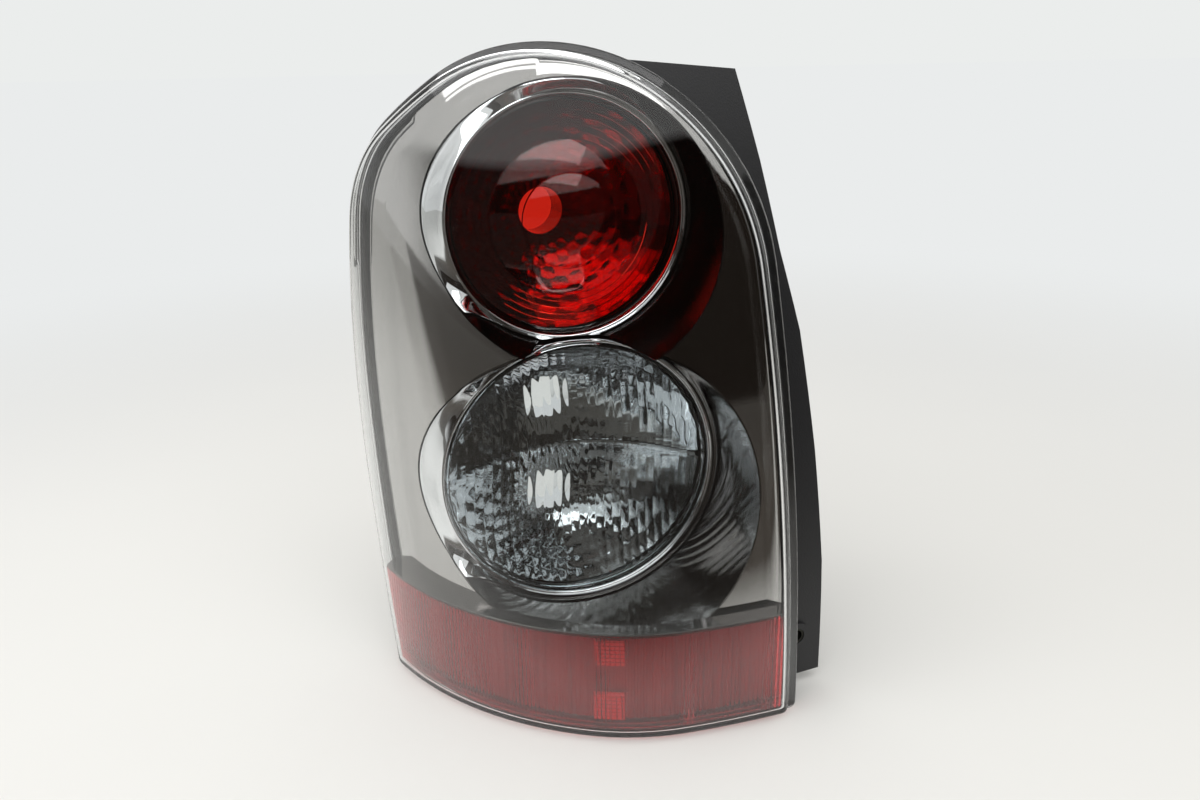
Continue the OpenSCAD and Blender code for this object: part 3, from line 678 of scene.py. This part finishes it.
def bowlSurface(cx, cz, lamp, radius, side, lineZ, deeper, pillow):
    s = bowlSizes
    a = np.linspace(0, 2 * math.pi, s["around"], endpoint=False)
    dx, dz = cx - lampAxis["x"], cz - lamp["z"]
    b = dx * np.cos(a) + dz * np.sin(a)
    full = np.sqrt(b * b - dx * dx - dz * dz + radius * radius) - b
    stop = full.copy()
    if side:  # a half bowl ends at the level where it meets the other half
        toward = side * np.sin(a) < -1e-6
        line = np.where(toward, (lineZ - cz) / np.where(toward, np.sin(a), 1), 1e3)
        stop = np.minimum(full, line)
    rings = []
    tilt = math.radians(lampAxis["tilt"])
    for j in range(s["across"] + 1):
        q = s["hole"] + (stop - s["hole"]) * j / s["across"]
        x = cx + q * np.cos(a)
        rimY = lamp["y"] + (lampAxis["seat"] + s["rimPlay"]) / math.cos(tilt)
        rimY = rimY - (x - lampAxis["x"]) * math.tan(tilt)
        share = (q - s["hole"]) / (full - s["hole"])
        y = s["backY"] + (rimY - s["backY"]) * share ** s["power"]
        if pillow:  # staggered pillow facets, flatter near the bulb
            v = (share * s["facetsAcross"]) % 1.0
            shift = 0.5 * (np.floor(share * s["facetsAcross"]) % 2)
            u = (a / (2 * math.pi) * s["facetsAround"] + shift) % 1.0
            swell = (1 - (2 * u - 1) ** 2) * (1 - (2 * v - 1) ** 2)
            y = y - pillow * swell * np.minimum(1, q / s["pillowFade"])
        rings.append(np.stack([x, y + deeper, cz + q * np.sin(a)], -1))
    return rings


def buildReflector(name, node, which, bulb, film, side=0):
    lamp, s = lampAxis[which], bowlSizes
    (cx, cz), r = s[bulb], lamp["r"] - s["inside"]
    lineZ = lampAxis["zoneZ"] + side * s["halfGap"]
    inner = bowlSurface(cx, cz, lamp, r, side, lineZ + side * s["flange"], 0, s["pillow"])
    outer = bowlSurface(cx, cz, lamp, r + s["flange"], side, lineZ, s["wall"], 0)[::-1]
    wide = s["hole"] + s["collar"]
    collar = [(s["hole"], s["backY"]), (wide, s["backY"] + s["collarStep"]), (wide, s["rearY"]),
              (s["hole"], s["rearY"])]
    turned = revolve(collar, s["collarSteps"])
    spun = [np.stack([cx + p[:, 0], p[:, 2], cz + p[:, 1]], -1) for p in turned]
    points, faces = joinParts([stackRings(inner + outer), stackRings(spun)])
    obj = meshObject(name, points, faces, sharp=30)
    obj.data.materials.append(film)
    finishPiece(obj, "aluminised", node)


buildReflector("upperBowl", "upper_reflector", "upper", "upper", darkerAluminium)
buildReflector("turnBowl", "turn_reflector", "lower", "turn", aluminium, side=1)
buildReflector("reverseBowl", "reverse_reflector", "lower", "reverse", aluminium, side=-1)
print("reflectors made")

# red strip: a shell with ribs on its inner face, open at its ends
stripSizes = {
    "low": 0.0085, "top": 0.073, "inset": 0.0085, "off": 0.0045, "wall": 0.0027, "back": 0.0145,
    "pitch": 0.0026, "rise": 0.0009, "uneven": (0.65, 0.35), "rates": (190, 61), "shift": 1.3,
    "columns": 900, "rows": 14, "shelfStep": 0.0006, "shelfColumns": 120,
}
# ribbed plate behind it
backingSizes = {
    "off": 0.0136, "thickness": 0.0008, "inset": 0.0004, "gap": 0.0002, "rib": 0.0013,
    "pitch": 0.0052, "uneven": (0.6, 0.4), "rates": (240, 83), "shift": 0.7,
}
# lip of the bezel over its top
ledgeSizes = {
    "gap": 0.0002, "wall": 0.0009, "inset": 0.0003, "front": 0.0004, "back": 0.0152, "columns": 200,
}


def stripGrid(inset, low, top, offAt, n, m):
    z = np.linspace(low, top, m)
    sideAt = lambda i: np.array([rimPoint(i, rimAngle(i, inset, v), inset)[0] for v in z])
    right, left = sideAt(0), sideAt(6)
    k = np.linspace(0, 1, n)[:, None]
    u = left[None, :] + (right - left)[None, :] * k
    zz = np.repeat(z[None, :], n, 0)
    return onFace(u, zz, offAt(u, zz) if callable(offAt) else offAt)


def buildStripLens():
    s = stripSizes
    t, inset, low, top = s["wall"], s["inset"], s["low"], s["top"]

    def ribFace(u, z):  # ribs of uneven height
        even, swing = s["uneven"]
        uneven = even + swing * np.sin(u * s["rates"][0]) * np.sin(u * s["rates"][1] + s["shift"])
        return s["off"] + t + s["rise"] * uneven * (np.abs(np.sin(math.pi * u / s["pitch"])) - 0.5)

    front = stripGrid(inset, low, top, s["off"], s["columns"], s["rows"])
    back = stripGrid(inset, low, top, ribFace, s["columns"], s["rows"])
    parts = [closedSlab(front, back)]
    for z0, z1 in ((top - t, top), (low, low + t)):  # its top and bottom walls
        near = stripGrid(inset, z0, z1, s["off"] + t + s["shelfStep"], s["shelfColumns"], 2)
        parts.append(closedSlab(near, stripGrid(inset, z0, z1, s["back"], s["shelfColumns"], 2)))
    points, faces = joinParts(parts)
    obj = meshObject("redStripShell", points, faces, sharp=40)
    obj.data.materials.append(stripAcrylic)
    finishPiece(obj, "red_lens", "red_strip_lens")


def buildStripBacking():
    s, b = stripSizes, backingSizes
    low, top = s["low"] + s["wall"] + b["gap"], s["top"] - s["wall"] - b["gap"]

    def ribbed(u, z):  # upright ribs, a little uneven
        even, swing = b["uneven"]
        uneven = even + swing * np.sin(u * b["rates"][0] + b["shift"]) * np.sin(u * b["rates"][1])
        return b["off"] - b["rib"] * uneven * np.abs(np.sin(math.pi * u / b["pitch"]))

    grid = (s["inset"] + b["inset"], low, top)
    front = stripGrid(*grid, ribbed, s["columns"], s["rows"])
    back = stripGrid(*grid, b["off"] + b["thickness"], s["columns"], s["rows"])
    points, faces = closedSlab(front, back)
    plate = meshObject("stripBackingRibs", points, faces, sharp=40)
    plate.data.materials.append(stripFilm)
    finishPiece(plate, "aluminised", "strip_backing")


def buildLedge():
    s, g = stripSizes, ledgeSizes
    low = s["top"] + g["gap"]
    grid = (s["inset"] + g["inset"], low, low + g["wall"])
    front = stripGrid(*grid, s["off"] + g["front"], g["columns"], 2)
    points, faces = closedSlab(front, stripGrid(*grid, g["back"], g["columns"], 2))
    ledge = meshObject("bezelLedge", points, faces, sharp=40)
    # the ledge takes the darker copy of the smoked chrome film: painted shade
    ledge.data.materials.append(shadedSmokedChrome)
    finishPiece(ledge, "smoked_chrome", "bezel")


buildStripLens()
buildStripBacking()
buildLedge()

# reflex inserts: two tiles behind the strip, with a small four-sided prism on each cell
reflexSizes = {
    "u": 0.012, "heights": (0.022, 0.060), "width": 0.018, "height": 0.017, "front": 0.0084,
    "back": 0.0121, "pitch": 0.0027, "prismWidth": 0.68, "prismHeight": 0.0009, "sink": 0.00005,
}


def prismTree():
    tree = bpy.data.node_groups.new("prismGrid", "GeometryNodeTree")
    sockets = (("Geometry", "INPUT", "Geometry"), ("Prism Width", "INPUT", "Float"),
               ("Prism Height", "INPUT", "Float"), ("Surface", "INPUT", "Material"),
               ("Geometry", "OUTPUT", "Geometry"))
    for label, way, kind in sockets:
        tree.interface.new_socket(label, in_out=way, socket_type="NodeSocket" + kind)
    start = addNode(tree, "NodeGroupInput")
    cone = addNode(tree, "GeometryNodeMeshCone", {"Vertices": 4}, {
        "Radius Bottom": start.outputs["Prism Width"], "Depth": start.outputs["Prism Height"]})
    normal = addNode(tree, "GeometryNodeInputNormal")
    turned = addNode(tree, "FunctionNodeAlignRotationToVector", {"axis": "Z"},
                     {"Vector": normal.outputs["Normal"]})
    dots = addNode(tree, "GeometryNodeInstanceOnPoints", None, {
        "Points": start.outputs["Geometry"], "Instance": cone.outputs["Mesh"],
        "Rotation": turned.outputs["Rotation"]})
    real = addNode(tree, "GeometryNodeRealizeInstances", None,
                   {"Geometry": dots.outputs["Instances"]})
    finish = addNode(tree, "GeometryNodeSetMaterial", None, {
        "Geometry": real.outputs["Geometry"], "Material": start.outputs["Surface"]})
    addNode(tree, "NodeGroupOutput", None, {"Geometry": finish.outputs["Geometry"]})
    return tree


def applyTree(obj, tree, values):
    mod = obj.modifiers.new("nodes", "NODES")
    mod.node_group = tree
    for item in tree.interface.items_tree:
        if item.in_out == "INPUT" and item.name in values:
            mod[item.identifier] = values[item.name]
    bpy.context.view_layer.update()
    graph = bpy.context.evaluated_depsgraph_get()
    made = bpy.data.meshes.new_from_object(obj.evaluated_get(graph))
    obj.modifiers.clear()
    obj.data = made


def buildReflexInserts():
    s = reflexSizes
    w, h, p = s["width"], s["height"], s["pitch"]
    n, m = int(w / p), int(h / p)
    slabs, sheets = [], []
    for z in s["heights"]:
        u, v = np.linspace(s["u"] - w / 2, s["u"] + w / 2, 2), np.linspace(z - h / 2, z + h / 2, 2)
        uu, vv = np.meshgrid(u, v, indexing="ij")
        slabs.append(closedSlab(onFace(uu, vv, s["front"]), onFace(uu, vv, s["back"])))
        u = np.linspace(s["u"] - w / 2 + p / 2, s["u"] + w / 2 - p / 2, n)
        v = np.linspace(z - h / 2 + p / 2, z + h / 2 - p / 2, m)
        uu, vv = np.meshgrid(u, v, indexing="ij")
        cells = onFace(uu, vv, s["front"] - s["sink"]).reshape(-1, 3)
        sheets.append((cells, gridFaces(n, m, 0, False)))
    points, faces = joinParts(sheets)
    prisms = meshObject("prismDots", points, faces, outwards=False)
    applyTree(prisms, prismTree(), {
        "Prism Width": p * s["prismWidth"], "Prism Height": s["prismHeight"],
        "Surface": orangeReflex})
    points, faces = joinParts(slabs)
    tiles = meshObject("reflexTiles", points, faces, sharp=30)
    tiles.data.materials.append(orangeReflex)
    finishPiece(tiles, "orange_reflex", "reflex_inserts")
    prisms.data.materials.clear()
    prisms.data.materials.append(orangeReflex)
    finishPiece(prisms, "orange_reflex", "reflex_inserts")


buildReflexInserts()
print("red strip made")

# stage: a pale floor. For all but camera rays it is painted dark towards the viewer: a painted
# reflection of a dark room, mirrored in the lamp
stageSizes = {
    "half": 25.0, "level": -0.0002, "turn": 22.5, "middle": (-0.027, -0.074, 0), "darkWithin": 0.14,
    "pale": ("#e4e3e0", "#e0dfdc"), "mottleMm": 333.333, "dark": "#4a443e", "roughness": 0.6,
    "specular": 0.2, "paper": "#eaecec", "paperFrom": 0.3, "paperTo": 1.6,
}


def floorMaterial(out, start):
    s = stageSizes
    mat, tree = newMaterial("paleFloor")  # matt paper, which runs into an even background far off
    where = addNode(tree, "ShaderNodeTexCoord")
    place = where.outputs["Object"]
    ahead = addNode(tree, "ShaderNodeVectorMath", {"operation": "DOT_PRODUCT", 1: tuple(-out)},
                    {0: place})
    before = addNode(tree, "ShaderNodeMapRange", {
        "From Min": start, "From Max": s["darkWithin"] + start}, {"Value": ahead.outputs["Value"]})
    path = addNode(tree, "ShaderNodeLightPath")
    direct = path.outputs["Is Camera Ray"]
    mirrored = addNode(tree, "ShaderNodeMath", {"operation": "SUBTRACT", 0: 1.0}, {1: direct})
    shade = addNode(tree, "ShaderNodeMath", {"operation": "MULTIPLY"},
                    {0: before.outputs["Result"], 1: mirrored.outputs["Value"]})
    mottle = addNode(tree, "ShaderNodeTexNoise", {"Scale": perMetre(s["mottleMm"]), "Detail": 2.0},
                     {"Vector": place})
    pale = addNode(tree, "ShaderNodeMix", {
        "data_type": "RGBA", 6: linear(s["pale"][0]), 7: linear(s["pale"][1])},
        {0: mottle.outputs["Fac"]})
    # painted reflection: off camera rays the floor turns dark on the viewer's side
    tone = addNode(tree, "ShaderNodeMix", {"data_type": "RGBA", 7: linear(s["dark"])},
                   {0: shade.outputs["Value"], 6: pale.outputs[2]})
    body = addNode(tree, "ShaderNodeBsdfPrincipled", {
        "Roughness": s["roughness"], "Specular IOR Level": s["specular"]},
        {"Base Color": tone.outputs[2]})
    away = addNode(tree, "ShaderNodeVectorMath", {"operation": "LENGTH"}, {0: place})
    far = addNode(tree, "ShaderNodeMapRange", {
        "From Min": s["paperFrom"], "From Max": s["paperTo"], "interpolation_type": "SMOOTHSTEP"},
        {"Value": away.outputs["Value"]})
    seen = addNode(tree, "ShaderNodeMath", {"operation": "MULTIPLY"},
                   {0: far.outputs["Result"], 1: direct})
    paper = addNode(tree, "ShaderNodeEmission", {"Color": linear(s["paper"]), "Strength": 1.0})
    both = addNode(tree, "ShaderNodeMixShader", None, {
        0: seen.outputs["Value"], 1: body.outputs["BSDF"], 2: paper.outputs["Emission"]})
    addNode(tree, "ShaderNodeOutputMaterial", None, {"Surface": both.outputs["Shader"]})
    return mat


def buildFloor():
    s = stageSizes
    turn, h = math.radians(s["turn"]), s["half"]
    along = Vector((math.cos(turn), -math.sin(turn), 0))
    out = Vector((math.sin(turn), math.cos(turn), 0))
    middle = Vector(s["middle"])
    mat = floorMaterial(out, -middle.dot(out))
    signs = ((-1, -1), (1, -1), (1, 1), (-1, 1))
    corners = [middle + along * x * h + out * y * h for x, y in signs]
    mesh = bpy.data.meshes.new("floor")
    mesh.from_pydata([(c.x, c.y, s["level"]) for c in corners], [], [(0, 1, 2, 3)])
    mesh.materials.append(mat)
    floor = bpy.data.objects.new("floor", mesh)
    bpy.context.scene.collection.objects.link(floor)


# booth: bright round the lamp, and on the viewer's side dark below a slanting edge
boothSizes = {
    "bright": "#ececea", "dark": "#241f1b", "background": "#ebedec",
    "toward": (-0.17, -0.985, 0.0), "sideFrom": -0.25, "sideTo": 0.32,
    "edge": (-0.057, 0.252, 1.0), "edgeFrom": 0.272, "edgeTo": 0.294,
}


def buildBooth():
    s = boothSizes
    world = bpy.data.worlds.new("booth")
    bpy.context.scene.world = world
    world.use_nodes = True
    tree = world.node_tree
    tree.nodes.clear()
    where = addNode(tree, "ShaderNodeTexCoord")
    toward = addNode(tree, "ShaderNodeVectorMath", {"operation": "DOT_PRODUCT", 1: s["toward"]},
                     {0: where.outputs["Generated"]})
    side = addNode(tree, "ShaderNodeMapRange", {
        "From Min": s["sideFrom"], "From Max": s["sideTo"], "interpolation_type": "SMOOTHSTEP"},
        {"Value": toward.outputs["Value"]})
    edge = addNode(tree, "ShaderNodeVectorMath", {"operation": "DOT_PRODUCT", 1: s["edge"]},
                   {0: where.outputs["Generated"]})
    low = addNode(tree, "ShaderNodeMapRange", {
        "From Min": s["edgeFrom"], "From Max": s["edgeTo"], "To Min": 1.0, "To Max": 0.0},
        {"Value": edge.outputs["Value"]})
    dark = addNode(tree, "ShaderNodeMath", {"operation": "MULTIPLY"},
                   {0: side.outputs["Result"], 1: low.outputs["Result"]})
    colour = addNode(tree, "ShaderNodeMix", {
        "data_type": "RGBA", 6: linear(s["bright"]), 7: linear(s["dark"])},
        {0: dark.outputs["Value"]})
    path = addNode(tree, "ShaderNodeLightPath")
    seen = addNode(tree, "ShaderNodeMix", {"data_type": "RGBA", 7: linear(s["background"])},
                   {0: path.outputs["Is Camera Ray"], 6: colour.outputs[2]})
    light = addNode(tree, "ShaderNodeBackground", {"Strength": 1.0}, {"Color": seen.outputs[2]})
    addNode(tree, "ShaderNodeOutputWorld", None, {"Surface": light.outputs["Background"]})


# softbox: its lower edge runs between two points, each a bearing, a height and a distance
softboxSizes = {
    "hub": (0.0, 0.03, 0.30), "left": (-96, 17, 1.5), "right": (26, 33, 1.5),
    "deep": 0.85, "lean": 0.8, "rise": 0.35, "radiance": 2.1,
}


def aim(bearing, height):  # direction from the lamp: bearing 0 is the viewer's side, -90 the left
    b, h = math.radians(bearing), math.radians(height)
    return Vector((math.sin(b) * math.cos(h), -math.cos(b) * math.cos(h), math.sin(h)))


def buildSoftbox():
    s = softboxSizes
    hub = Vector(s["hub"])
    a, b = (hub + aim(bearing, height) * far for bearing, height, far in (s["left"], s["right"]))
    across = (b - a).normalized()
    up = ((a + b) / 2 - hub).cross(across).normalized()
    up = up if up.z > 0 else -up
    middle = (a + b) / 2 + (up * s["lean"] + Vector((0, 0, s["rise"]))).normalized() * s["deep"] / 2
    back = (middle - hub).normalized()
    across = (across - back * back.dot(across)).normalized()
    up = back.cross(across)
    data = bpy.data.lights.new("slantedSoftbox", "AREA")
    data.shape, data.size, data.size_y = "RECTANGLE", (b - a).length, s["deep"]
    data.energy = s["radiance"] * math.pi * data.size * data.size_y
    lamp = bpy.data.objects.new("slantedSoftbox", data)
    turn = Matrix((across, up, back)).transposed().to_4x4()
    lamp.matrix_world = Matrix.Translation(middle) @ turn
    bpy.context.scene.collection.objects.link(lamp)


cameraSizes = {
    "lens": 29.04, "sensor": 36.0, "near": 0.01, "far": 20,
    "place": (-0.195, -0.480, 0.400), "turn": (70.09598, 1.12834, -22.90851),
}


def buildCamera():
    s = cameraSizes
    data = bpy.data.cameras.new("view")
    data.lens, data.sensor_width = s["lens"], s["sensor"]
    data.clip_start, data.clip_end = s["near"], s["far"]
    cam = bpy.data.objects.new("view", data)
    cam.location = s["place"]
    cam.rotation_euler = Euler([math.radians(v) for v in s["turn"]])
    bpy.context.scene.collection.objects.link(cam)
    bpy.context.scene.camera = cam


buildFloor()
buildBooth()
buildSoftbox()
buildCamera()
bpy.context.scene.view_settings.view_transform = "Standard"
print("scene ready")
